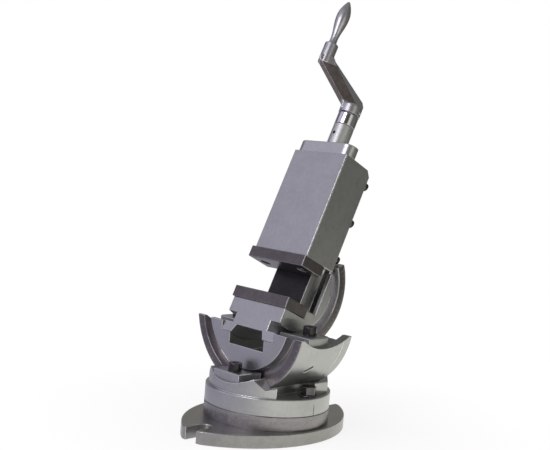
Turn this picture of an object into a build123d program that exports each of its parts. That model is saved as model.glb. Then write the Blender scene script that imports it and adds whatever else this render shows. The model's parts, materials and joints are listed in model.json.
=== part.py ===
"""Three-axis tilting precision machine vise, built as an assembly of separate parts.

One shared frame in mm.  Z is up, the swivel axis is the Z axis and the base stands on Z = 0.
X runs along the jaws.  The lower tilt axis is parallel to Y and the upper tilt axis to X.
"""

import os
from math import cos, radians, sin

from build123d import *

# Fits
GAP = 0.3  # between faces of parts that move against each other
RUN = 0.05  # radial clearance of a running fit

# Base
BASE_TURN = 2.5  # the base is turned this far about Z under the turntable, degrees
FLANGE_T = 12.3
FLANGE_SIDE_R = 116.6
FLANGE_SIDE_OFFSET = 50.5
FLANGE_END_R = 99.0
FLANGE_CORNER_R = 9.0
SLOT_W = 14.4
SLOT_REACH = 75.0
HUB_R = 58.8
HUB_TOP = 25.8
RIM_R = 61.6
TSLOT_NECK = (47.1, 55.9)
TSLOT_WIDE = (44.5, 57.3)
TSLOT_FLOOR = 7.5
TSLOT_STEP = 16.0
TSLOT_ENTRY_R = 8.0
PIVOT_R = 10.0
PIVOT_BOTTOM = 8.0
PIVOT_TOP = 38.0

# Turntable and its saddle
TABLE_BOTTOM = HUB_TOP + GAP
TABLE_TOP = 42.3
SADDLE_R = 58.5
SADDLE_HALF_X = 47.3
SADDLE_TOP = 62.0
SADDLE_SHOULDER = [(31.0, 57.6), (40.5, 49.2), (48.0, 52.6), (60.0, 58.0), (60.0, 75.0), (31.0, 75.0)]
CHANNEL_HALF_Y = 16.7
CHANNEL_START = 36.0
SWIVEL_BOLT_R = 51.46
SWIVEL_BOLT_ANGLE = 4.5
INDEX_ANGLE = 2.0
INDEX_HEIGHT = 11.0

# Lower tilt guide, about an axis parallel to Y
LOWER_AXIS = 116.7
MOON_R = 55.2
MOON_HALF_Y = 34.6
CRADLE_TOP = -14.5
RING_R = 75.25
RING_INNER_R = 65.8
RING_HALF_Y = 34.1
RING_NECK_HALF_Y = 23.5
SADDLE_WALL_Y = 34.45
SADDLE_WALL_R = 65.5
SEAM_Y = 24.0
SLIT_ANGLE = 37.7
SLIT_TURN = 39.0
SLIT_Y = -7.5
SLIT_LENGTH = 11.0
SLIT_WIDTH = 3.4
SLIT_DEPTH = 4.0
REAR_RELIEF_R = 59.0
RING_ROUND = 1.2

# Upper tilt guide, about an axis parallel to X
UPPER_OFFSET = 26.4
UPPER_AXIS = LOWER_AXIS + UPPER_OFFSET
VISE_TILT = 66.0
GUIDE_R = 60.55
GUIDE_INNER_R = 51.3
GUIDE_HALF_X = 35.7
GUIDE_NECK_HALF_X = 23.9
GUIDE_WALL_R = 51.0
GUIDE_REAR_ANGLE = 44.5
CHANNEL_RELIEF_HALF_X = 24.0
CHANNEL_RELIEF_R = 70.0

# Clamp blocks and M8 bolts
LOWER_CLAMP_X = (-15.5, 20.0)
LOWER_CLAMP_Y = (26.0, 55.0)
LOWER_CLAMP_TOP = 60.3
LOWER_BOLT_Y = 46.0
LOWER_BOLT_END = 36.0
UPPER_CLAMP_X = (26.0, 65.0)
UPPER_CLAMP_Y = (-15.5, 13.0)
UPPER_CLAMP_ROUND = 3.5
UPPER_CLAMP_TOP = -15.3
UPPER_BOLT_X = 50.0
UPPER_BOLT_END = -41.0
M8_R = 4.0
M8_HEAD_R = 6.5
M8_HEAD_H = 8.0
WASHER_R = 8.8
HEX_R = 7.8
HEX_H = 7.6
HEX_CHAMFER = 1.2
WASHER_T = 1.6
NUT_BLOCK = (10.0, 14.0, 6.2)

# Vise body, in its own frame: Y along the screw, Z normal to the bed
BODY_R = 41.0
BODY_HALF_X = 35.9
JAW_TOP = 12.25
PLATE_HALF_X = 37.5
PLATE_Z = (-15.8, 14.65)
PLATE_T = 11.2
FIXED_FACE_Y = -13.4
MOVING_FACE_Y = 18.4
RAIL_TOP = -16.5
RAIL_HALF_X = 24.0
RAIL_UNDER = -32.0
RAIL_END = 104.0
KEEL_HALF_X = 14.7
KEEL_BOTTOM = -35.0
GROOVE_START = -16.0
GROOVE_FLOOR = -39.6
LIP_INNER_X = 31.9
LIP_TOP = -30.0
JAW_SCREW_X = 25.3
JAW_SCREW_LENGTH = 12.0
SCREW_AXIS_Z = -6.3
NUT_Y = (84.0, 104.0)
NUT_HALF_X = 15.0
NUT_TOP = 4.5
NUT_FOOT = (10.0, -24.0)
NUT_SCREW_TOP = -19.0

# Moving jaw box
BOX_Y = (MOVING_FACE_Y + PLATE_T, 138.7)
BOX_HALF_X = 36.1
BOX_Z = (LIP_TOP + GAP, 11.6)
BOX_REAR_CHAMFER = 5.5
CAVITY_FRONT = 41.0
CAVITY_TOP = 5.5
SKIRT_Y = (33.0, 132.0)
SKIRT_HALF_X = 30.9
KEEPER_X = (15.5, 29.5)
KEEPER_Y = (34.0, 131.0)
KEEPER_T = 3.0
KEEPER_SCREW_X = 27.4
KEEPER_SCREW_Y = [45.0, 85.0, 126.0]
M5_R = 2.5
M5_HEAD_R = 4.25
M5_HEAD_H = 4.0
M6_R = 3.0
M6_HEAD_R = 5.0
M6_HEAD_H = 5.6
END_T = 12.0
END_OUTLINE = [(-35.9, 11.4), (-35.9, -1.5), (-14.0, -19.5), (14.0, -19.5), (35.9, -1.5), (35.9, 11.4)]
END_FRONT_R = 10.0
END_REAR_R = 5.0
END_SCREW = (28.3, 1.6)

# Screw, sleeve and crank
SCREW_R = 8.0
SCREW_START = 43.0
THRUST_RING_R = 11.0
SLEEVE_R = 10.6
SLEEVE_END = 176.0
OIL_HOLE_Y = 165.0
OIL_HOLE_R = 1.5
COLLAR_R = 10.7
COLLAR_Y = (SLEEVE_END + GAP, 188.8)
HUB_Y = (190.0, 200.5)
CRANK_HUB_R = 11.2
CRANK_DIR = (-0.693, 0.721)
CRANK_THROW = 43.3
CRANK_HALF_T = 6.6
CRANK_PROFILE = [
    (11.0, 192.0),
    (11.0, 199.2),
    (50.4, 233.8),
    (50.4, 239.0),
    (36.0, 240.0),
    (32.3, 235.6),
    (-8.6, 207.4),
    (-11.0, 202.6),
    (-11.0, 192.0),
]
CRANK_FACET = [(37.5, 239.3), (-1.6, 202.2)]
CRANK_FACET_TILT = 36.0
CRANK_EDGE_R = 1.2
CRANK_HUB_ROUND = 2.5
BOSS_R = 7.2
BOSS_Y = (231.5, 254.4)
GRIP_PIN_R = 2.0
GRIP_START = BOSS_Y[1] + GAP
GRIP_PROFILE = [
    (4.6, 0.0),
    (4.0, 3.0),
    (3.9, 7.0),
    (4.5, 13.0),
    (5.6, 19.0),
    (6.5, 24.5),
    (7.0, 30.0),
    (6.8, 35.5),
    (5.7, 40.7),
    (4.1, 45.0),
    (2.6, 48.0),
]
GRIP_LENGTH = 51.0

CRADLE_FRAME = Pos(0, 0, LOWER_AXIS)
VISE_FRAME = Pos(0, 0, UPPER_AXIS) * Rot(VISE_TILT, 0, 0)
BEYOND = 200.0
EDGE_BREAK = 0.5


def slab(x, y, z):
    """Block between the two limits given on each axis."""
    size = [axis[1] - axis[0] for axis in (x, y, z)]
    middle = [(axis[1] + axis[0]) / 2 for axis in (x, y, z)]
    return Pos(*middle) * Box(*size)


def wide(half):
    """Limits symmetric about zero."""
    return (-half, half)


def side(limits, sign):
    """The same limits on the side given by sign."""
    return tuple(sorted(sign * value for value in limits))


def post(radius, z, at=(0.0, 0.0)):
    """Cylinder along Z."""
    return Pos(at[0], at[1], (z[0] + z[1]) / 2) * Cylinder(radius, z[1] - z[0])


def sleeve_z(outer, inner, z, at=(0.0, 0.0)):
    """Tube along Z."""
    return post(outer, z, at) - post(inner, (z[0] - 1, z[1] + 1), at)


def drum_x(radius, half, z=0.0):
    """Cylinder along X, centred on the YZ plane."""
    return Pos(0, 0, z) * Rot(0, 90, 0) * Cylinder(radius, 2 * half)


def drum_y(radius, half, z=0.0):
    """Cylinder along Y, centred on the XZ plane."""
    return Pos(0, 0, z) * Rot(90, 0, 0) * Cylinder(radius, 2 * half)


def rod(radius, y, x=0.0, z=SCREW_AXIS_Z):
    """Cylinder along Y between two limits."""
    return Pos(x, (y[0] + y[1]) / 2, z) * Rot(90, 0, 0) * Cylinder(radius, y[1] - y[0])


def tube(outer, inner, y, x=0.0, z=SCREW_AXIS_Z):
    """Tube along Y."""
    return rod(outer, y, x, z) - rod(inner, (y[0] - 1, y[1] + 1), x, z)


def circles(body, radius):
    """The circular edges of one radius."""
    return [edge for edge in body.edges().filter_by(GeomType.CIRCLE) if abs(edge.radius - radius) < 0.01]


def break_bore(ring, radius):
    """The ring with a small chamfer at both mouths of its bore."""
    return chamfer(circles(ring, radius), EDGE_BREAK)


def socket_screw(radius, length, head_radius, head_height):
    """Hexagon socket screw pointing down, the underside of its head at Z = 0."""
    head = post(head_radius, (0, head_height))
    head = chamfer(head.edges().group_by(Axis.Z)[-1], 0.09 * head_radius)
    key = extrude(RegularPolygon(0.53 * head_radius, 6), 0.6 * head_height)
    shank = post(radius, (-length, 0))
    shank = chamfer(shank.edges().group_by(Axis.Z)[0], 0.15 * radius)
    return head + shank - Pos(0, 0, 0.5 * head_height) * key


def hex_bolt(radius, length):
    """Hexagon head bolt pointing down, the underside of its head at Z = 0."""
    head = extrude(RegularPolygon(HEX_R, 6), HEX_H)
    crown = HEX_R - HEX_CHAMFER
    cone = Pos(0, 0, HEX_H / 2) * Cone(crown + 1.75 * HEX_H, crown, HEX_H)
    shank = post(radius, (-length, 0))
    return (head & cone) + chamfer(shank.edges().group_by(Axis.Z)[0], 0.15 * radius)


def swivel_spot(sign):
    """Centre of a swivel bolt in plan."""
    angle = radians(SWIVEL_BOLT_ANGLE)
    return (sign * SWIVEL_BOLT_R * cos(angle), sign * SWIVEL_BOLT_R * sin(angle))


def base_casting():
    outline = Pos(-FLANGE_SIDE_OFFSET, 0) * Circle(FLANGE_SIDE_R)
    outline = outline & Pos(FLANGE_SIDE_OFFSET, 0) * Circle(FLANGE_SIDE_R)
    outline = outline & Circle(FLANGE_END_R)
    outline = fillet(outline.vertices(), FLANGE_CORNER_R)
    flange = extrude(outline, FLANGE_T)
    half = SLOT_W / 2
    inner = SLOT_REACH + half
    for sign in (-1, 1):
        flange -= slab(wide(half), side((inner, FLANGE_END_R + 5), sign), (-1, FLANGE_T + 1))
        flange -= post(half, (-1, FLANGE_T + 1), (0, sign * inner))
    flange = chamfer(flange.edges().group_by(Axis.Z)[-1], 0.7)
    hub = post(HUB_R, (FLANGE_T / 2, HUB_TOP))
    body = flange + hub
    body -= sleeve_z(TSLOT_NECK[1], TSLOT_NECK[0], (TSLOT_STEP - 1, HUB_TOP + 1))
    body -= sleeve_z(TSLOT_WIDE[1], TSLOT_WIDE[0], (TSLOT_FLOOR, TSLOT_STEP))
    body -= post(TSLOT_ENTRY_R, (TSLOT_FLOOR, HUB_TOP + 1), (0, SWIVEL_BOLT_R))
    body -= post(PIVOT_R, (PIVOT_BOTTOM, HUB_TOP + 1))
    return Rot(0, 0, BASE_TURN) * body


def degree_ring():
    ring = sleeve_z(RIM_R, HUB_R, (FLANGE_T, HUB_TOP))
    top = ring.edges().group_by(Axis.Z)[-1].sort_by(SortBy.RADIUS)[-1]
    return chamfer(top, 0.4)


def turntable():
    disc = post(RIM_R, (TABLE_BOTTOM, TABLE_TOP))
    disc = chamfer(disc.edges().group_by(Axis.Z)[-1], 0.7)
    saddle = post(SADDLE_R, (TABLE_TOP - 1, SADDLE_TOP))
    saddle = saddle & slab(wide(SADDLE_HALF_X), wide(SADDLE_R), (0, SADDLE_TOP))
    shoulder = extrude(Plane.XZ * Polygon(*SADDLE_SHOULDER, align=None), RIM_R, both=True)
    saddle -= shoulder
    saddle -= mirror(shoulder, about=Plane.YZ)
    for sign in (-1, 1):
        opening = side((CHANNEL_START, RIM_R), sign)
        across = side((-SADDLE_WALL_Y, CHANNEL_HALF_Y), sign)
        saddle -= slab(opening, across, (TABLE_TOP, SADDLE_TOP))
    body = disc + saddle
    body -= drum_y(SADDLE_WALL_R, RIM_R, LOWER_AXIS)
    body -= drum_y(RING_R + GAP, SADDLE_WALL_Y, LOWER_AXIS)
    body -= post(PIVOT_R + RUN, (TABLE_BOTTOM - 1, PIVOT_TOP + GAP))
    for sign in (-1, 1):
        body -= post(M8_R + RUN, (0, TABLE_TOP + 1), swivel_spot(sign))
        body -= post(M8_R + RUN, (LOWER_BOLT_END - 1, SADDLE_TOP), (0, sign * LOWER_BOLT_Y))
    mark = slab((RIM_R - 0.3, RIM_R + 1), wide(0.3), (TABLE_BOTTOM - 1, TABLE_BOTTOM + INDEX_HEIGHT))
    return body - Rot(0, 0, INDEX_ANGLE) * mark


def lower_clamp(sign):
    reach = side(LOWER_CLAMP_Y, sign)
    block = slab(side(LOWER_CLAMP_X, sign), reach, (LOWER_CLAMP_TOP - 14, LOWER_CLAMP_TOP))
    block = chamfer(block.edges().group_by(Axis.Z)[-1], 0.8)
    block = block & drum_y(SADDLE_WALL_R, RIM_R, LOWER_AXIS)
    return block - post(M8_R + RUN, (0, LOWER_AXIS), (0, sign * LOWER_BOLT_Y))


def upper_clamp(sign):
    reach = side(UPPER_CLAMP_X, sign)
    block = slab(reach, side(UPPER_CLAMP_Y, sign), (UPPER_CLAMP_TOP - 14, UPPER_CLAMP_TOP))
    far = block.edges().filter_by(Axis.Z).sort_by(lambda edge: sign * (edge.center().X + edge.center().Y))
    block = fillet(far[-1], UPPER_CLAMP_ROUND)
    block = chamfer(block.edges().group_by(Axis.Z)[-1], 0.8)
    block = block & drum_x(GUIDE_WALL_R, RING_R, UPPER_OFFSET)
    return CRADLE_FRAME * (block - post(M8_R + RUN, (-RING_R, 0), (sign * UPPER_BOLT_X, 0)))


def lower_bolt(sign):
    seat = LOWER_CLAMP_TOP + GAP
    screw = socket_screw(M8_R, seat - LOWER_BOLT_END, M8_HEAD_R, M8_HEAD_H)
    return Pos(0, sign * LOWER_BOLT_Y, seat) * screw


def upper_bolt(sign):
    seat = UPPER_CLAMP_TOP + GAP
    screw = socket_screw(M8_R, seat - UPPER_BOLT_END, M8_HEAD_R, M8_HEAD_H)
    return CRADLE_FRAME * Pos(sign * UPPER_BOLT_X, 0, seat) * screw


def swivel_bolt(sign):
    seat = TABLE_TOP + WASHER_T + GAP
    return Pos(*swivel_spot(sign), seat) * hex_bolt(M8_R, seat - TSLOT_FLOOR - 1.5)


def swivel_washer(sign):
    return sleeve_z(WASHER_R, M8_R + RUN, (TABLE_TOP, TABLE_TOP + WASHER_T), swivel_spot(sign))


def tee_nut(sign):
    top = TSLOT_STEP - GAP
    block = slab(wide(NUT_BLOCK[0] / 2), wide(NUT_BLOCK[1] / 2), (top - NUT_BLOCK[2], top))
    block -= post(M8_R + RUN, (0, TABLE_TOP))
    return Pos(*swivel_spot(sign)) * Rot(0, 0, SWIVEL_BOLT_ANGLE) * block


def cradle():
    body = drum_y(RING_R, RING_HALF_Y) - drum_y(RING_INNER_R, RIM_R)
    body = break_bore(body, RING_INNER_R)
    body = fillet(circles(body, RING_R), RING_ROUND)
    body += drum_y(RING_INNER_R + 1, RING_NECK_HALF_Y)
    body += drum_y(MOON_R, MOON_HALF_Y)
    body = body & slab(wide(RING_R + 1), wide(RIM_R), (-RING_R - 1, CRADLE_TOP))
    body -= drum_x(GUIDE_WALL_R, RING_R + 1, UPPER_OFFSET)
    body -= drum_x(GUIDE_R + GAP, GUIDE_HALF_X + GAP, UPPER_OFFSET)
    body -= drum_x(CHANNEL_RELIEF_R, CHANNEL_RELIEF_HALF_X, UPPER_OFFSET)
    rear = slab(wide(MOON_R + 1), (RING_NECK_HALF_Y + GAP, RIM_R), (-RING_R, CRADLE_TOP + 1))
    body -= drum_x(REAR_RELIEF_R, RING_R, UPPER_OFFSET) & rear
    seam = drum_y(RING_R + 1, 0.3) - drum_y(RING_R - 0.35, 1)
    body -= Pos(0, SEAM_Y, 0) * seam
    for sign in (-1, 1):
        body -= post(M8_R + RUN, (UPPER_BOLT_END - 1, 0), (sign * UPPER_BOLT_X, 0))
    slit = Rot(0, SLIT_ANGLE, 0) * Pos(RING_R, SLIT_Y, 0) * Rot(SLIT_TURN, 0, 0)
    slot = SlotOverall(SLIT_LENGTH, SLIT_WIDTH, rotation=90)
    body -= slit * Rot(0, 90, 0) * extrude(slot, SLIT_DEPTH, both=True)
    return CRADLE_FRAME * body


def guide_sector():
    """Everything the curved guide keeps, between its two end faces."""
    angle = radians(-GUIDE_REAR_ANGLE)
    corners = [
        (0, JAW_TOP),
        (0, 0),
        (BEYOND * cos(angle), BEYOND * sin(angle)),
        (BEYOND, -BEYOND),
        (-BEYOND, -BEYOND),
        (-BEYOND, JAW_TOP),
    ]
    return extrude(Plane.YZ * Polygon(*corners, align=None), PLATE_HALF_X, both=True)


def vise_body():
    guide = drum_x(GUIDE_R, GUIDE_HALF_X) - drum_x(GUIDE_INNER_R, BODY_HALF_X + 1)
    guide = break_bore(guide, GUIDE_INNER_R)
    guide += drum_x(GUIDE_INNER_R + 1, GUIDE_NECK_HALF_X) - drum_x(BODY_R - 1, BODY_HALF_X)
    relief = Polygon((-18, 52.6), (18, 52.6), (23, 62), (-23, 62), align=None)
    guide -= revolve(relief, Axis.X)
    body = guide & guide_sector()
    core = drum_x(BODY_R, BODY_HALF_X)
    jaw_back = FIXED_FACE_Y - PLATE_T
    body += core & slab(wide(BODY_HALF_X), (-BODY_R, jaw_back), (-BODY_R, JAW_TOP))
    body += core & slab(wide(BODY_HALF_X), (jaw_back - 1, BODY_R), (-BODY_R, RAIL_TOP))
    body += slab(wide(RAIL_HALF_X), (jaw_back - 1, RAIL_END), (RAIL_UNDER, RAIL_TOP))
    body += slab(wide(KEEL_HALF_X), (jaw_back - 1, RAIL_END), (KEEL_BOTTOM, RAIL_UNDER))
    run = (GROOVE_START, BEYOND)
    for sign in (-1, 1):
        body -= slab(side((RAIL_HALF_X, BODY_HALF_X + 1), sign), run, (LIP_TOP, 0))
        body -= slab(side((RAIL_HALF_X, LIP_INNER_X), sign), run, (RAIL_UNDER, 0))
        body -= slab(side((KEEL_HALF_X, LIP_INNER_X), sign), run, (GROOVE_FLOOR, RAIL_UNDER))
        body -= rod(M6_R, (jaw_back - 12, jaw_back + 1), sign * JAW_SCREW_X, 0)
    nut_middle = sum(NUT_Y) / 2
    body -= slab(wide(NUT_FOOT[0]), (NUT_Y[0] + 2, NUT_Y[1] - 2), (NUT_FOOT[1], RAIL_TOP + 1))
    body -= post(M6_R, (KEEL_BOTTOM - 1, NUT_FOOT[1] + 1), (0, nut_middle))
    body -= post(M6_HEAD_R, (KEEL_BOTTOM - 1, KEEL_BOTTOM + M6_HEAD_H), (0, nut_middle))
    return VISE_FRAME * body


def jaw_plate(face, sense):
    """Hardened plate whose clamping face is at face; sense points from it into the plate."""
    plate = slab(wide(PLATE_HALF_X), side((face * sense, face * sense + PLATE_T), sense), PLATE_Z)
    plate = chamfer(plate.edges(), 0.5)
    for sign in (-1, 1):
        near = side((face * sense - 1, face * sense + M6_HEAD_H + 1), sense)
        through = side((face * sense - 1, face * sense + PLATE_T + 1), sense)
        plate -= rod(M6_HEAD_R + 0.5, near, sign * JAW_SCREW_X, 0)
        plate -= rod(M6_R, through, sign * JAW_SCREW_X, 0)
    return VISE_FRAME * plate


def jaw_screw(face, sense, sign):
    screw = socket_screw(M6_R, JAW_SCREW_LENGTH, M6_HEAD_R, M6_HEAD_H)
    seat = face + sense * (M6_HEAD_H + 1)
    return VISE_FRAME * Pos(sign * JAW_SCREW_X, seat, 0) * Rot(90 * sense, 0, 0) * screw


def feed_nut():
    nut = slab(wide(NUT_HALF_X), NUT_Y, (RAIL_TOP, NUT_TOP))
    nut = chamfer(nut.edges().group_by(Axis.Z)[-1], 1.0)
    nut += slab(wide(NUT_FOOT[0]), (NUT_Y[0] + 2, NUT_Y[1] - 2), (NUT_FOOT[1], RAIL_TOP + 1))
    nut -= rod(SCREW_R + RUN, (NUT_Y[0] - 1, NUT_Y[1] + 1))
    nut -= post(M6_R, (NUT_FOOT[1] - 1, NUT_SCREW_TOP), (0, sum(NUT_Y) / 2))
    return VISE_FRAME * nut


def feed_nut_screw():
    seat = KEEL_BOTTOM + M6_HEAD_H
    screw = socket_screw(M6_R, NUT_SCREW_TOP - seat, M6_HEAD_R, M6_HEAD_H)
    return VISE_FRAME * Pos(0, sum(NUT_Y) / 2, seat) * Rot(180, 0, 0) * screw


def moving_jaw():
    box = slab(wide(BOX_HALF_X), BOX_Y, BOX_Z)
    rear = box.edges().filter_by(Axis.X).sort_by(lambda edge: edge.center().Y - edge.center().Z)[-1]
    box = chamfer(rear, BOX_REAR_CHAMFER)
    box = chamfer(box.edges().filter_by(Axis.Y).group_by(Axis.Z)[-1], 0.8)
    skirt_z = (RAIL_UNDER - GAP, BOX_Z[0] + 1)
    box += slab(wide(SKIRT_HALF_X), SKIRT_Y, skirt_z)
    inner = RAIL_HALF_X + GAP
    box -= slab(wide(inner), (CAVITY_FRONT, BEYOND), (RAIL_UNDER - 1, CAVITY_TOP))
    box -= slab(wide(inner), (0, BEYOND), (RAIL_UNDER - 1, RAIL_TOP + GAP))
    for sign in (-1, 1):
        box -= rod(M6_R, (0, BOX_Y[0] + 9), sign * JAW_SCREW_X, 0)
        box -= rod(M6_R, (BOX_Y[1] - 12, BEYOND), sign * END_SCREW[0], END_SCREW[1])
        for y in KEEPER_SCREW_Y:
            box -= post(M5_R, (-BODY_R, RAIL_UNDER + 11), (sign * KEEPER_SCREW_X, y))
    return VISE_FRAME * box


def keeper_plate(sign):
    top = RAIL_UNDER - GAP
    plate = slab(side(KEEPER_X, sign), KEEPER_Y, (top - KEEPER_T, top))
    plate = chamfer(plate.edges().group_by(Axis.Z)[0], 0.4)
    for y in KEEPER_SCREW_Y:
        plate -= post(M5_R, (-BODY_R, 0), (sign * KEEPER_SCREW_X, y))
    return VISE_FRAME * plate


def keeper_screw(sign, index):
    seat = RAIL_UNDER - GAP - KEEPER_T
    screw = socket_screw(M5_R, KEEPER_T + 10, M5_HEAD_R, M5_HEAD_H)
    spot = Pos(sign * KEEPER_SCREW_X, KEEPER_SCREW_Y[index], seat)
    return VISE_FRAME * spot * Rot(180, 0, 0) * screw


def bearing_plate():
    outline = Polygon(*END_OUTLINE, align=None)
    outline = fillet(outline.vertices().group_by(Axis.Y)[-1], END_FRONT_R)
    outline = fillet(outline.vertices().filter_by(lambda corner: corner.Y < -1), END_REAR_R)
    plate = extrude(Plane.XZ * outline, -END_T)
    plate = chamfer(plate.faces().sort_by(Axis.Y)[-1].edges(), 0.7)
    plate = Pos(0, BOX_Y[1], 0) * plate
    through = (BOX_Y[1] - 1, BOX_Y[1] + END_T + 1)
    plate -= rod(SCREW_R + RUN, through)
    for sign in (-1, 1):
        plate -= rod(M6_R, through, sign * END_SCREW[0], END_SCREW[1])
        bottom = BOX_Y[1] + END_T - M6_HEAD_H - 0.4
        plate -= rod(M6_HEAD_R + 0.4, (bottom, through[1]), sign * END_SCREW[0], END_SCREW[1])
    return VISE_FRAME * plate


def end_screw(sign):
    seat = BOX_Y[1] + END_T - M6_HEAD_H - 0.4
    screw = socket_screw(M6_R, 15, M6_HEAD_R, M6_HEAD_H)
    return VISE_FRAME * Pos(sign * END_SCREW[0], seat, END_SCREW[1]) * Rot(-90, 0, 0) * screw


def screw_sleeve():
    body = tube(SLEEVE_R, SCREW_R + RUN, (BOX_Y[1] + END_T, SLEEVE_END))
    body = chamfer(body.faces().sort_by(Axis.Y)[-1].outer_wire().edges(), 0.4)
    hole = post(OIL_HOLE_R, (SCREW_AXIS_Z, SLEEVE_R), (0, OIL_HOLE_Y))
    return VISE_FRAME * (body - hole)


def lead_screw():
    body = rod(SCREW_R, (SCREW_START, HUB_Y[1] - 1))
    return VISE_FRAME * chamfer(body.edges(), 0.8)


def thrust_ring():
    return VISE_FRAME * tube(THRUST_RING_R, SCREW_R, (BOX_Y[1] - 3, BOX_Y[1] - GAP))


def thrust_collar():
    body = tube(COLLAR_R, SCREW_R, COLLAR_Y)
    body = chamfer(body.faces().sort_by(Axis.Y)[-1].outer_wire().edges(), 0.5)
    return VISE_FRAME * body


def boss_spot():
    return (CRANK_THROW * CRANK_DIR[0], SCREW_AXIS_Z + CRANK_THROW * CRANK_DIR[1])


def crank_arm():
    across, up = CRANK_DIR
    plane = Plane(origin=(0, 0, SCREW_AXIS_Z), x_dir=(across, 0, up), z_dir=(-up, 0, across))
    outline = Polygon(*CRANK_PROFILE, align=None)
    outline = fillet(outline.vertices(), 2.5)
    bar = extrude(plane * outline, CRANK_HALF_T, both=True)
    flats = bar.faces().sort_by(SortBy.AREA)[-2:]
    bar = fillet(flats.edges(), CRANK_EDGE_R)
    face = plane.z_dir * -1
    high, low = (plane.from_local_coords(Vector(*point, 0)) for point in CRANK_FACET)
    along = (low - high).normalized()
    tilt = radians(CRANK_FACET_TILT)
    normal = face * cos(tilt) + face.cross(along) * sin(tilt)
    cutter = Plane(origin=(high + low) * 0.5 + face * CRANK_HALF_T, x_dir=along, z_dir=normal)
    bar -= cutter * Pos(0, 0, 10) * Box(BEYOND, BEYOND, 20)
    x, z = boss_spot()
    boss = fillet(rod(BOSS_R, BOSS_Y, x, z).edges(), 0.8)
    hub = rod(CRANK_HUB_R, HUB_Y)
    hub = fillet(hub.edges().sort_by(Axis.Y)[-1], CRANK_HUB_ROUND)
    arm = bar + boss + hub
    arm -= rod(SCREW_R, (0, HUB_Y[1] - 1))
    return VISE_FRAME * (arm - rod(GRIP_PIN_R, (BOSS_Y[0] + 4, BEYOND * 2), x, z))


def grip_pin():
    x, z = boss_spot()
    return VISE_FRAME * rod(GRIP_PIN_R, (BOSS_Y[0] + 4, GRIP_START + 36), x, z)


def grip():
    x, z = boss_spot()
    points = [(radius, GRIP_START + along) for radius, along in GRIP_PROFILE]
    outer = Spline(*points, tangents=[(-0.25, 1), (-0.5, 1)])
    tip = (0, GRIP_START + GRIP_LENGTH)
    dome = Bezier(points[-1], (1.3, GRIP_START + GRIP_LENGTH - 0.4), tip)
    edges = outer + dome + Line(tip, (0, GRIP_START)) + Line((0, GRIP_START), points[0])
    body = revolve(make_face(edges), Axis.Y)
    bore = rod(GRIP_PIN_R + RUN, (GRIP_START - 1, GRIP_START + 36 + GAP), x, z)
    return VISE_FRAME * (Pos(x, 0, z) * body - bore)


def assembly():
    """Every part by name."""
    fixed_back, moving_back = -1, 1
    parts = {
        "base_casting": base_casting(),
        "degree_ring": degree_ring(),
        "pivot_pin": post(PIVOT_R, (PIVOT_BOTTOM, PIVOT_TOP)),
        "turntable": turntable(),
        "lower_clamp_front": lower_clamp(-1),
        "lower_clamp_rear": lower_clamp(1),
        "lower_clamp_bolt_front": lower_bolt(-1),
        "lower_clamp_bolt_rear": lower_bolt(1),
        "cradle": cradle(),
        "vise_body": vise_body(),
        "fixed_jaw_plate": jaw_plate(FIXED_FACE_Y, fixed_back),
        "moving_jaw_plate": jaw_plate(MOVING_FACE_Y, moving_back),
        "feed_nut": feed_nut(),
        "feed_nut_screw": feed_nut_screw(),
        "moving_jaw": moving_jaw(),
        "bearing_plate": bearing_plate(),
        "screw_sleeve": screw_sleeve(),
        "lead_screw": lead_screw(),
        "thrust_ring": thrust_ring(),
        "thrust_collar": thrust_collar(),
        "crank_arm": crank_arm(),
        "grip_pin": grip_pin(),
        "grip": grip(),
    }
    for name, sign in (("right", 1), ("left", -1)):
        parts[f"swivel_bolt_{name}"] = swivel_bolt(sign)
        parts[f"swivel_washer_{name}"] = swivel_washer(sign)
        parts[f"tee_nut_{name}"] = tee_nut(sign)
        parts[f"upper_clamp_{name}"] = upper_clamp(sign)
        parts[f"upper_clamp_bolt_{name}"] = upper_bolt(sign)
        parts[f"fixed_jaw_screw_{name}"] = jaw_screw(FIXED_FACE_Y, fixed_back, sign)
        parts[f"moving_jaw_screw_{name}"] = jaw_screw(MOVING_FACE_Y, moving_back, sign)
        parts[f"keeper_plate_{name}"] = keeper_plate(sign)
        for index in range(len(KEEPER_SCREW_Y)):
            parts[f"keeper_screw_{name}_{index + 1}"] = keeper_screw(sign, index)
        parts[f"end_screw_{name}"] = end_screw(sign)
    return parts


os.makedirs("parts", exist_ok=True)
for part_name, part in assembly().items():
    export_step(part, f"parts/{part_name}.step")
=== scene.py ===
import json
import math

import bpy
from mathutils import Matrix, Vector


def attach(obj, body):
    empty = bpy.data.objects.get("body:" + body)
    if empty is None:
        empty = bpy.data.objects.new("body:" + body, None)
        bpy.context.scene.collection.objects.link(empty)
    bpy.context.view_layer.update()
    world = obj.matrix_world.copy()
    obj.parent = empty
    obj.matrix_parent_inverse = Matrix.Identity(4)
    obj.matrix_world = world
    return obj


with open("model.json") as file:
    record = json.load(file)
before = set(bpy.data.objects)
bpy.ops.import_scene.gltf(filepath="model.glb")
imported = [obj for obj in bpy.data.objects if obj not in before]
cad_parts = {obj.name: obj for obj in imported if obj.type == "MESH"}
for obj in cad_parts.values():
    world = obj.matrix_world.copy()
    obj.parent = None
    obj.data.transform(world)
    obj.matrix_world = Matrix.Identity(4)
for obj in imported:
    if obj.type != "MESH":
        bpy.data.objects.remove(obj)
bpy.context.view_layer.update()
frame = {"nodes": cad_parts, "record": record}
NODES = frame["nodes"]
MM = 0.001

# Axes of the vise. SCREW runs along the screw and BED is square to the jaws' bed.
TILT = math.radians(66.0)
X, Y, Z = Vector((1, 0, 0)), Vector((0, 1, 0)), Vector((0, 0, 1))
SCREW = Vector((0, math.cos(TILT), math.sin(TILT)))
BED = Vector((0, -math.sin(TILT), math.cos(TILT)))

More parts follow.
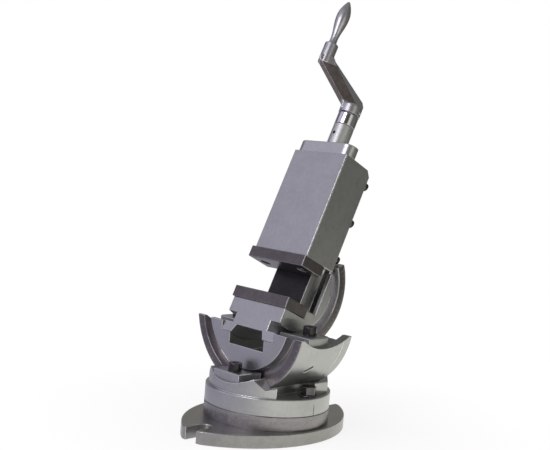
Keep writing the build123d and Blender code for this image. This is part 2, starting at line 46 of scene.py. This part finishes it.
# Heights of the two tilt axes in mm, and the index line's place in degrees.
LOWER_AXIS = 116.7
UPPER_AXIS = 143.1
INDEX_ANGLE = 2.0
BASE_CENTRE = Vector((0, 0, 0))
LOWER = Vector((0, 0, LOWER_AXIS * MM))
UPPER = Vector((0, 0, UPPER_AXIS * MM))

# The crank's bar. FLAT is square to its flat face, ACROSS runs from hub to boss, and BAR points
# between the flat face and the lower edge.
# Faces of the crank bar turned towards BAR get a painted shade.
FLAT = X * 0.721 + BED * 0.693
ACROSS = BED * 0.721 - X * 0.693
BAR = (FLAT + ACROSS * 0.688 - SCREW * 0.725).normalized()


# ---------------------------------------------------------------- materials


class Graph:
    """A small helper that adds and links shader nodes."""

    def __init__(self, name=None, tree=None):
        self.tree = tree
        if name:
            self.material = bpy.data.materials.new(name)
            self.material.use_nodes = True
            self.tree = self.material.node_tree
            self.shader = self.tree.nodes["Principled BSDF"]

    def node(self, kind, inputs=None, **settings):
        made = self.tree.nodes.new(kind)
        for key, value in settings.items():
            setattr(made, key, value)
        for key, value in (inputs or {}).items():
            self.feed(made.inputs[key], value)
        return made

    def feed(self, socket, value):
        if isinstance(value, bpy.types.NodeSocket):
            self.tree.links.new(value, socket)
        else:
            socket.default_value = value

    def noise(self, vector, scale, detail, roughness=0.55):
        inputs = {"Vector": vector, "Scale": scale, "Detail": detail, "Roughness": roughness}
        return self.node("ShaderNodeTexNoise", inputs).outputs["Fac"]

    def span(self, value, low, high, start=0.3, end=0.7):
        inputs = {"Value": value, "From Min": start, "From Max": end, "To Min": low, "To Max": high}
        return self.node("ShaderNodeMapRange", inputs).outputs["Result"]

    def math(self, operation, first, second=0.0):
        return self.node("ShaderNodeMath", {0: first, 1: second}, operation=operation).outputs[0]

    def vector(self, operation, first, second, output="Value"):
        made = self.node("ShaderNodeVectorMath", {0: first, 1: second}, operation=operation)
        return made.outputs[output]

    def length(self, vector):
        return self.node("ShaderNodeVectorMath", {0: vector}, operation="LENGTH").outputs["Value"]

    def mix(self, factor, first, second):
        made = self.node("ShaderNodeMix", data_type="RGBA")
        self.feed(made.inputs[0], factor)
        self.feed(made.inputs[6], first)
        self.feed(made.inputs[7], second)
        return made.outputs[2]


def height(g, place, origin, axis):
    """Distance along an axis from a point, in metres."""
    away = g.vector("SUBTRACT", place, tuple(origin), "Vector")
    return g.vector("DOT_PRODUCT", away, tuple(axis))


def reach(g, place, origin, axis):
    """Distance from the axis through a point, in metres."""
    away = g.vector("SUBTRACT", place, tuple(origin), "Vector")
    return g.length(g.vector("CROSS_PRODUCT", away, tuple(axis), "Vector"))


def both(g, first, second):
    return g.math("MULTIPLY", first, second)


def above(g, value, low):
    """One where a distance is over a limit in mm."""
    return g.math("GREATER_THAN", value, low * MM)


def below(g, value, high):
    """One where a distance is under a limit in mm."""
    return g.math("LESS_THAN", value, high * MM)


def within(g, value, low, high):
    return both(g, above(g, value, low), below(g, value, high))


def drum_zone(centre, axis, radii, sides):
    """A mask for what lies between two radii and, on both sides, two distances along the axis."""

    def mask(g, place):
        side = g.math("ABSOLUTE", height(g, place, centre, axis))
        return both(g, within(g, reach(g, place, centre, axis), *radii), within(g, side, *sides))

    return mask


# Zones in mm: radii about the tilt axis, then distances from the middle plane.
PAST_THE_PART = 1000.0
cradle_face = drum_zone(LOWER, Y, (65.5, 74.5), (33.4, PAST_THE_PART))
cradle_groove = drum_zone(LOWER, Y, (55.3, 66.0), (23.0, 33.4))
guide_face = drum_zone(UPPER, X, (51.7, 60.3), (35.2, PAST_THE_PART))
# The guide's groove zone carries a painted highlight that lifts its shade.
guide_groove = drum_zone(UPPER, X, (41.1, 51.6), (23.4, 35.2))

RAIL_TOP = (-16.8, -16.0)
FIXED_JAW_FRONT = -13.0
CRANK_BAR = (201.0, 231.6)
RIM_RADII = (60.0, 62.0)
INDEX_TOP = 36.7
INDEX_HALF_WIDTH = 0.4
OIL_HOLE_ALONG = 165.0
OIL_HOLE_R = 1.7


def rail_top(g, place):
    """The ground top of the rail beyond the fixed jaw, which gets a near-black painted shade."""
    level = height(g, place, UPPER, BED)
    along = height(g, place, UPPER, SCREW)
    return both(g, within(g, level, *RAIL_TOP), above(g, along, FIXED_JAW_FRONT))


def crank_flat(g, place):
    """The bar's flat face and lower edge between the crank's hub and its boss, picked by which way they
    face, for a darker painted shade.
    """
    normal = g.node("ShaderNodeTexCoord").outputs["Normal"]
    flat = g.math("GREATER_THAN", g.vector("DOT_PRODUCT", normal, tuple(BAR)), 0.60)
    return both(g, flat, within(g, height(g, place, UPPER, SCREW), *CRANK_BAR))


def index_line(g, place):
    """The index line on the turntable's rim."""
    turn = math.radians(INDEX_ANGLE)
    across = g.math("ABSOLUTE", height(g, place, BASE_CENTRE, (-math.sin(turn), math.cos(turn), 0)))
    ahead = height(g, place, BASE_CENTRE, (math.cos(turn), math.sin(turn), 0))
    line = both(g, within(g, ahead, *RIM_RADII), below(g, across, INDEX_HALF_WIDTH))
    return both(g, below(g, height(g, place, BASE_CENTRE, Z), INDEX_TOP), line)


def oil_hole(g, place):
    """The oil hole in the sleeve, painted dark as the shade inside the hole."""
    spot = UPPER + SCREW * (OIL_HOLE_ALONG * MM)
    return below(g, reach(g, place, spot, BED), OIL_HOLE_R)


CLOUD_SCALE = 38.0
MOTTLE_SCALE = 260.0
GRAIN_SCALE = 1500.0
EVEN = (1.0, 1.0, 1.0)
BEVEL_R = 0.9
BUMP_DEPTH = 0.1
SOOT = (0.03, 0.03, 0.03, 1.0)
# Ink for the index line, and painted shade for the oil hole.
INK_AND_HOLE_SHADE = (0.02, 0.02, 0.02, 1.0)


def metal(name, dark, light, rough, metallic=0.9, grain=EVEN, bump=0.12, edge=None, zones=(), ink_and_hole_shade=None):
    """Metal with soft blotches, a fine grain, edges lightened as rubbed wear and as a painted highlight,
    zones of other colours, some of them painted light and shade, and ink marks and the painted shade of a
    hole.
    """
    g = Graph(name)
    place = g.node("ShaderNodeTexCoord").outputs["Object"]
    stretched = g.node("ShaderNodeMapping", {"Vector": place, "Scale": grain}).outputs["Vector"]
    cloud = g.noise(place, CLOUD_SCALE, 3.0)
    speck = g.noise(stretched, GRAIN_SCALE, 5.0, 0.6)
    mottle = g.noise(place, MOTTLE_SCALE, 4.0, 0.6)
    shade = g.math("ADD", cloud, mottle)
    colour = g.mix(g.span(shade, 0.0, 1.0, 0.75, 1.25), (*dark, 1.0), (*light, 1.0))
    for mask, low, high in zones:
        ground = g.mix(g.span(shade, 0.0, 1.0, 0.75, 1.25), (*low, 1.0), (*high, 1.0))
        colour = g.mix(mask(g, place), colour, ground)
    colour = g.mix(g.span(speck, 0.0, 0.22), colour, SOOT)
    bevel = g.node("ShaderNodeBevel", {"Radius": BEVEL_R * MM}, samples=8).outputs["Normal"]
    # Edges are lightened towards the edge colour: partly rubbed wear, partly a painted highlight along the
    # edge.
    if edge:
        flat = g.node("ShaderNodeNewGeometry").outputs["Normal"]
        turn = g.vector("DOT_PRODUCT", bevel, flat)
        wear_and_highlight = both(g, g.span(turn, 0.9, 0.0, 0.84, 0.99), g.span(mottle, 0.8, 1.0))
        colour = g.mix(wear_and_highlight, colour, (*edge, 1.0))
    if ink_and_hole_shade:
        colour = g.mix(ink_and_hole_shade(g, place), colour, INK_AND_HOLE_SHADE)
    g.feed(g.shader.inputs["Base Color"], colour)
    g.shader.inputs["Metallic"].default_value = metallic
    g.feed(g.shader.inputs["Roughness"], g.span(g.math("ADD", mottle, speck), *rough, 0.7, 1.3))
    inputs = {"Height": speck, "Strength": bump, "Distance": BUMP_DEPTH * MM, "Normal": bevel}
    g.feed(g.shader.inputs["Normal"], g.node("ShaderNodeBump", inputs).outputs["Normal"])
    return g.material


# Each pair is the darker and the lighter colour of a blotchy surface.
GREY = ((0.44, 0.44, 0.44), (0.50, 0.50, 0.50))
GROUND = ((0.155, 0.138, 0.142), (0.205, 0.182, 0.187))
WALL = ((0.40, 0.37, 0.385), (0.46, 0.425, 0.44))
# Near white: a painted highlight on the guide's shaded groove.
PAINTED_GROOVE_HIGHLIGHT = ((0.86, 0.84, 0.88), (0.94, 0.92, 0.96))
# Near black: painted shade on the rail top beyond the fixed jaw.
PAINTED_RAIL_SHADE = ((0.028, 0.026, 0.027), (0.044, 0.040, 0.042))
# Dark brown: painted shade on the crank bar's faces that turn towards BAR.
PAINTED_CRANK_SHADE = ((0.200, 0.172, 0.158), (0.280, 0.245, 0.228))
JAW_GREY = ((0.120, 0.104, 0.106), (0.165, 0.146, 0.148))
BASE_GREY = ((0.33, 0.32, 0.31), (0.40, 0.39, 0.375))
SCALE_GREY = ((0.27, 0.25, 0.26), (0.34, 0.32, 0.33))
STEEL_GREY = ((0.46, 0.46, 0.47), (0.54, 0.54, 0.55))
BRONZE_BROWN = ((0.52, 0.31, 0.11), (0.62, 0.40, 0.16))
CHROME_GREY = ((0.70, 0.69, 0.73), (0.78, 0.77, 0.80))
SLEEVE_GREY = ((0.56, 0.56, 0.56), (0.64, 0.64, 0.63))
PLATE_GREY = ((0.54, 0.54, 0.54), (0.60, 0.60, 0.60))
CRANK_GREY = ((0.48, 0.47, 0.49), (0.56, 0.55, 0.57))
SCREW_BLACK = ((0.030, 0.027, 0.029), (0.055, 0.050, 0.052))
BOLT_GREY = ((0.090, 0.088, 0.092), (0.140, 0.136, 0.142))
MARK_GREY = ((0.50, 0.49, 0.49), (0.60, 0.59, 0.58))
# Edge colour, partly rubbed bare metal and partly a painted highlight.
BRIGHT = (0.95, 0.95, 0.95)

SATIN = {"rough": (0.27, 0.35), "edge": BRIGHT, "bump": 0.05}
TURNED = {"metallic": 0.95, "edge": BRIGHT}
CRADLE_ZONES = [(cradle_face, *GROUND), (cradle_groove, *WALL)]
# Among the vise zones, the groove's colour is a painted highlight and the rail top's a painted shade.
VISE_ZONES = [(guide_face, *GROUND), (guide_groove, *PAINTED_GROOVE_HIGHLIGHT), (rail_top, *PAINTED_RAIL_SHADE)]
# The crank bar's faces that turn towards BAR get a painted shade.
CRANK_ZONES = [(crank_flat, *PAINTED_CRANK_SHADE)]

CASTING = metal("satin_casting", *GREY, **SATIN)
TABLE = metal("table_casting", *GREY, **SATIN, ink_and_hole_shade=index_line)
CRADLE = metal("cradle_casting", *GREY, **SATIN, zones=CRADLE_ZONES)
VISE = metal("vise_casting", *GREY, **SATIN, zones=VISE_ZONES)
BASE = metal("base_casting_top", *BASE_GREY, **SATIN)
SCALE = metal("ground_scale", *SCALE_GREY, (0.30, 0.38), grain=(0.1, 0.1, 3.0), bump=0.08)
JAW = metal("jaw_steel", *JAW_GREY, (0.28, 0.36), grain=(0.08, 2.0, 2.0), bump=0.08, edge=(0.7, 0.68, 0.7))
STEEL = metal("machined_steel", *STEEL_GREY, (0.22, 0.30), **TURNED, bump=0.05)
BRONZE = metal("bronze", *BRONZE_BROWN, (0.25, 0.35), 0.95, bump=0.05)
CHROME = metal("chrome_collar", *CHROME_GREY, (0.05, 0.10), 1.0, bump=0.01)
SLEEVE = metal("sleeve_steel", *SLEEVE_GREY, (0.42, 0.50), **TURNED, bump=0.04, ink_and_hole_shade=oil_hole)
PLATE = metal("plate_steel", *PLATE_GREY, (0.28, 0.36), **TURNED, bump=0.04)
CRANK = metal("crank_metal", *CRANK_GREY, (0.30, 0.38), 0.95, bump=0.03, zones=CRANK_ZONES)
BLACK = metal("black_screws", *SCREW_BLACK, (0.16, 0.26), 0.8, edge=(0.40, 0.37, 0.39), bump=0.05)
DULL = metal("dark_bolt", *BOLT_GREY, (0.18, 0.28), 0.9, edge=(0.55, 0.54, 0.56), bump=0.05)
MARKS = metal("mark_fill", *MARK_GREY, (0.35, 0.45), 0.6, bump=0.02)

NODE_LOOK = {
    "base_casting": BASE,
    "degree_ring": SCALE,
    "turntable": TABLE,
    "cradle": CRADLE,
    "vise_body": VISE,
    "fixed_jaw_plate": JAW,
    "moving_jaw_plate": JAW,
    "feed_nut": BRONZE,
    "thrust_collar": CHROME,
    "screw_sleeve": SLEEVE,
    "bearing_plate": PLATE,
    "swivel_bolt_right": DULL,
    "swivel_bolt_left": DULL,
    "crank_arm": CRANK,
    "grip": CRANK,
}
SLOT_LOOK = {
    "satin_casting": CASTING,
    "machined_steel": STEEL,
    "black_screws": BLACK,
}
for entry in frame["record"]["subparts"]:
    node = NODES[entry["node"]]
    look = NODE_LOOK.get(entry["node"]) or SLOT_LOOK[entry["material_slot"]]
    node.data.materials.clear()
    node.data.materials.append(look)


# ---------------------------------------------------------------- degree marks

# Sizes in mm. A line's lengths are for a plain, a fifth and a tenth degree.
SCALE_R = 61.6
SCALE_TOP = 25.2
NUMBER_BASE = 16.4
NUMBER_SIZE = 2.8
NUMBER_DEPTH = 0.05
RING_LINES = {"lengths": (3.4, 4.6, 6.0), "half_width": 0.18, "depth": 0.05}
ARC_LINES = {"lengths": (2.2, 3.4, 4.6), "half_width": 0.12, "depth": 0.04}
CRADLE_SCALE = {"radius": 74.9, "degrees": (-166, -14), "face": 34.1}
GUIDE_SCALE = {"radius": 60.2, "degrees": (-188, -47), "face": 35.7}
BAR_SIDES = ((0, 3, 2, 1), (4, 5, 6, 7), (0, 1, 5, 4), (1, 2, 6, 5), (2, 3, 7, 6), (3, 0, 4, 7))


def marked_piece(name, vertices, faces, body):
    """A mesh in metres that rides on a body and has the look of the marks."""
    mesh = bpy.data.meshes.new(name)
    mesh.from_pydata(vertices, [], faces)
    mesh.materials.append(MARKS)
    piece = bpy.data.objects.new(name, mesh)
    bpy.context.scene.collection.objects.link(piece)
    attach(piece, body)


def line_marks(name, bars, body):
    """One mesh of thin closed bars, each given as its eight corners in mm."""
    vertices = []
    faces = []
    for corners in bars:
        start = len(vertices)
        vertices += [tuple(value * MM for value in corner) for corner in corners]
        faces += [tuple(start + index for index in side) for side in BAR_SIDES]
    marked_piece(name, vertices, faces, body)


def bar(degree, point, along, across, out, lengths, half_width, depth):
    """Corners of one degree's line, which starts at point, runs along, and stands out by depth."""
    plain, fifth, tenth = lengths
    length = plain
    if degree % 5 == 0:
        length = tenth if degree % 10 == 0 else fifth
    near = [point - across * half_width - out * depth, point + across * half_width - out * depth]
    base = [near[0], near[1], near[1] + along * length, near[0] + along * length]
    return base + [corner + out * (2 * depth) for corner in base]


def ring_marks():
    """Lines down the degree ring, one for each degree."""
    bars = []
    for degree in range(360):
        angle = math.radians(degree + INDEX_ANGLE)
        out = X * math.cos(angle) + Y * math.sin(angle)
        across = Y * math.cos(angle) - X * math.sin(angle)
        bars.append(bar(degree, out * SCALE_R + Z * SCALE_TOP, -Z, across, out, **RING_LINES))
    line_marks("degree_marks", bars, "base")


def arc_marks(name, body, centre, first, second, out, radius, degrees, face):
    """Inward lines on a flat face round a tilt axis; first and second span the face."""
    bars = []
    for degree in range(degrees[0], degrees[1] + 1):
        angle = math.radians(degree)
        ray = first * math.cos(angle) + second * math.sin(angle)
        across = second * math.cos(angle) - first * math.sin(angle)
        bars.append(bar(degree, centre + ray * radius + out * face, -ray, across, out, **ARC_LINES))
    line_marks(name, bars, body)


def ring_numbers():
    """Numbers every ten degrees, 0 to 90 and back, as one thin raised mesh round the ring."""
    vertices = []
    faces = []
    for degree in range(0, 360, 10):
        half_turn = degree % 180
        curve = bpy.data.curves.new("number", "FONT")
        curve.body = str(min(half_turn, 180 - half_turn))
        curve.size = NUMBER_SIZE * MM
        curve.align_x = "CENTER"
        curve.extrude = NUMBER_DEPTH * MM
        source = bpy.data.objects.new("number", curve)
        bpy.context.scene.collection.objects.link(source)
        bpy.context.view_layer.update()
        solid = source.evaluated_get(bpy.context.evaluated_depsgraph_get())
        mesh = bpy.data.meshes.new_from_object(solid)
        angle = math.radians(degree + INDEX_ANGLE)
        start = len(vertices)
        for vertex in mesh.vertices:
            along, up, depth = vertex.co
            turn = angle + along / (SCALE_R * MM)
            radius = SCALE_R * MM + depth
            vertices.append((radius * math.cos(turn), radius * math.sin(turn), NUMBER_BASE * MM + up))
        faces += [tuple(start + index for index in polygon.vertices) for polygon in mesh.polygons]
        bpy.data.objects.remove(source)
        bpy.data.meshes.remove(mesh)
        bpy.data.curves.remove(curve)
    marked_piece("degree_numbers", vertices, faces, "base")


ring_marks()
arc_marks("cradle_marks", "cradle", Z * LOWER_AXIS, X, Z, -Y, **CRADLE_SCALE)
arc_marks("guide_marks_right", "vise_body", Z * UPPER_AXIS, SCREW, BED, X, **GUIDE_SCALE)
arc_marks("guide_marks_left", "vise_body", Z * UPPER_AXIS, SCREW, BED, -X, **GUIDE_SCALE)
ring_numbers()


# ---------------------------------------------------------------- stage, light, camera

# The floor, in metres, and the light that it gives back to the metal, cool at the left.
FLOOR_R = 0.62
FLOOR_DROP = 0.0004
FLOOR_GLOW = 1.04
PAPER = (0.9, 0.9, 0.9, 1.0)
COOL = (0.44, 0.43, 0.54, 1.0)
WARM = (1.15, 1.15, 1.06, 1.0)
SEEN_WHITE = (1.05, 1.05, 1.05, 1.0)
RIGHT_REAR = (0.85, 0.52, 0.0)


def floor():
    """A pale disc that fades into the white behind it."""
    turns = [math.radians(degree) for degree in range(0, 360, 5)]
    ring = [(FLOOR_R * math.cos(turn), FLOOR_R * math.sin(turn), 0) for turn in turns]
    mesh = bpy.data.meshes.new("floor")
    mesh.from_pydata(ring, [], [tuple(range(len(ring)))])
    piece = bpy.data.objects.new("floor", mesh)
    piece.location.z = -FLOOR_DROP
    bpy.context.scene.collection.objects.link(piece)
    g = Graph("floor_paper")
    g.shader.inputs["Base Color"].default_value = PAPER
    g.shader.inputs["Roughness"].default_value = 0.9
    place = g.node("ShaderNodeTexCoord").outputs["Object"]
    fade = g.span(g.length(place), 0.78, 1.0, 0.10, 0.60)
    right = g.vector("DOT_PRODUCT", place, RIGHT_REAR)
    seen = g.node("ShaderNodeLightPath").outputs["Is Camera Ray"]
    tint = g.mix(g.span(right, 0.0, 1.0, -0.20, 0.12), COOL, WARM)
    tint = g.mix(seen, tint, SEEN_WHITE)
    glow = g.node("ShaderNodeEmission", {"Color": tint, "Strength": FLOOR_GLOW}).outputs[0]
    merged = g.node("ShaderNodeMixShader", {0: fade, 1: g.shader.outputs[0], 2: glow}).outputs[0]
    g.feed(g.tree.nodes["Material Output"].inputs["Surface"], merged)
    mesh.materials.append(g.material)


def softbox(name, location, target, size, power, colour):
    lamp = bpy.data.lights.new(name, "AREA")
    lamp.shape = "RECTANGLE"
    lamp.size, lamp.size_y = size
    lamp.energy = power
    lamp.color = colour
    item = bpy.data.objects.new(name, lamp)
    item.location = location
    item.rotation_euler = (Vector(target) - Vector(location)).to_track_quat("-Z", "Y").to_euler()
    bpy.context.scene.collection.objects.link(item)


# The room that the metal reflects: a plain shade, then soft patches, each a direction, a colour
# and the cosines from that direction at which the patch starts and is full.
ROOM = (0.34, 0.34, 0.36, 1.0)
PATCHES = [
    ((-0.70, -0.70, 0.00), (0.44, 0.43, 0.56, 1.0), 0.30, 0.85),
    ((-0.71, -0.53, 0.47), (0.66, 0.64, 0.78, 1.0), 0.80, 0.96),
    ((-0.95, -0.05, 0.30), (0.13, 0.12, 0.15, 1.0), 0.90, 0.98),
    ((-0.70, 0.70, 0.05), (0.34, 0.33, 0.31, 1.0), 0.70, 0.95),
    ((0.70, 0.70, 0.10), (0.17, 0.17, 0.15, 1.0), 0.50, 0.80),
    ((0.05, 0.98, -0.10), (0.10, 0.10, 0.10, 1.0), 0.88, 0.96),
    ((0.45, 0.45, -0.77), (0.78, 0.78, 0.73, 1.0), 0.80, 0.93),
    ((0.93, -0.33, -0.05), (1.20, 1.21, 1.12, 1.0), 0.75, 0.95),
    ((0.74, -0.55, 0.50), (0.10, 0.09, 0.08, 1.0), 0.91, 0.975),
]
WHITE = (1, 1, 1, 1)


def studio():
    """White to the camera; to the metal, a dim room with soft bright and dark sides."""
    world = bpy.data.worlds.new("studio")
    world.use_nodes = True
    world.node_tree.nodes.clear()
    g = Graph(tree=world.node_tree)
    place = g.node("ShaderNodeTexCoord").outputs["Generated"]
    colour = ROOM
    for direction, shade, low, high in PATCHES:
        aim = g.vector("DOT_PRODUCT", place, tuple(Vector(direction).normalized()))
        colour = g.mix(g.span(aim, 0.0, 1.0, low, high), colour, shade)
    room = g.node("ShaderNodeBackground", {"Color": colour, "Strength": 1.0}).outputs[0]
    white = g.node("ShaderNodeBackground", {"Color": WHITE, "Strength": 1.0}).outputs[0]
    seen = g.node("ShaderNodeLightPath").outputs["Is Camera Ray"]
    merged = g.node("ShaderNodeMixShader", {0: seen, 1: room, 2: white}).outputs[0]
    g.node("ShaderNodeOutputWorld", {"Surface": merged})
    bpy.context.scene.world = world


def camera():
    data = bpy.data.cameras.new("camera")
    data.sensor_width = 36.0
    data.lens = 68.08
    data.shift_x = -0.0118
    data.shift_y = 0.0024
    data.clip_start = 0.05
    item = bpy.data.objects.new("camera", data)
    right = Vector((0.69758654, 0.71153667, 0.08419371))
    up = Vector((-0.11424788, -0.00554202, 0.99343682))
    forward = Vector((-0.70733333, 0.7026271, -0.07742552))
    turn = Matrix((right, up, -forward)).transposed()
    item.matrix_world = Matrix.Translation((0.71673, -0.71196, 0.27769)) @ turn.to_4x4()
    bpy.context.scene.collection.objects.link(item)
    bpy.context.scene.camera = item


floor()
softbox("key", (0.10, -1.25, 1.05), (0, 0, 0.15), (0.8, 0.8), 9.0, (0.97, 0.96, 1.0))
studio()
camera()
bpy.context.scene.view_settings.view_transform = "Standard"
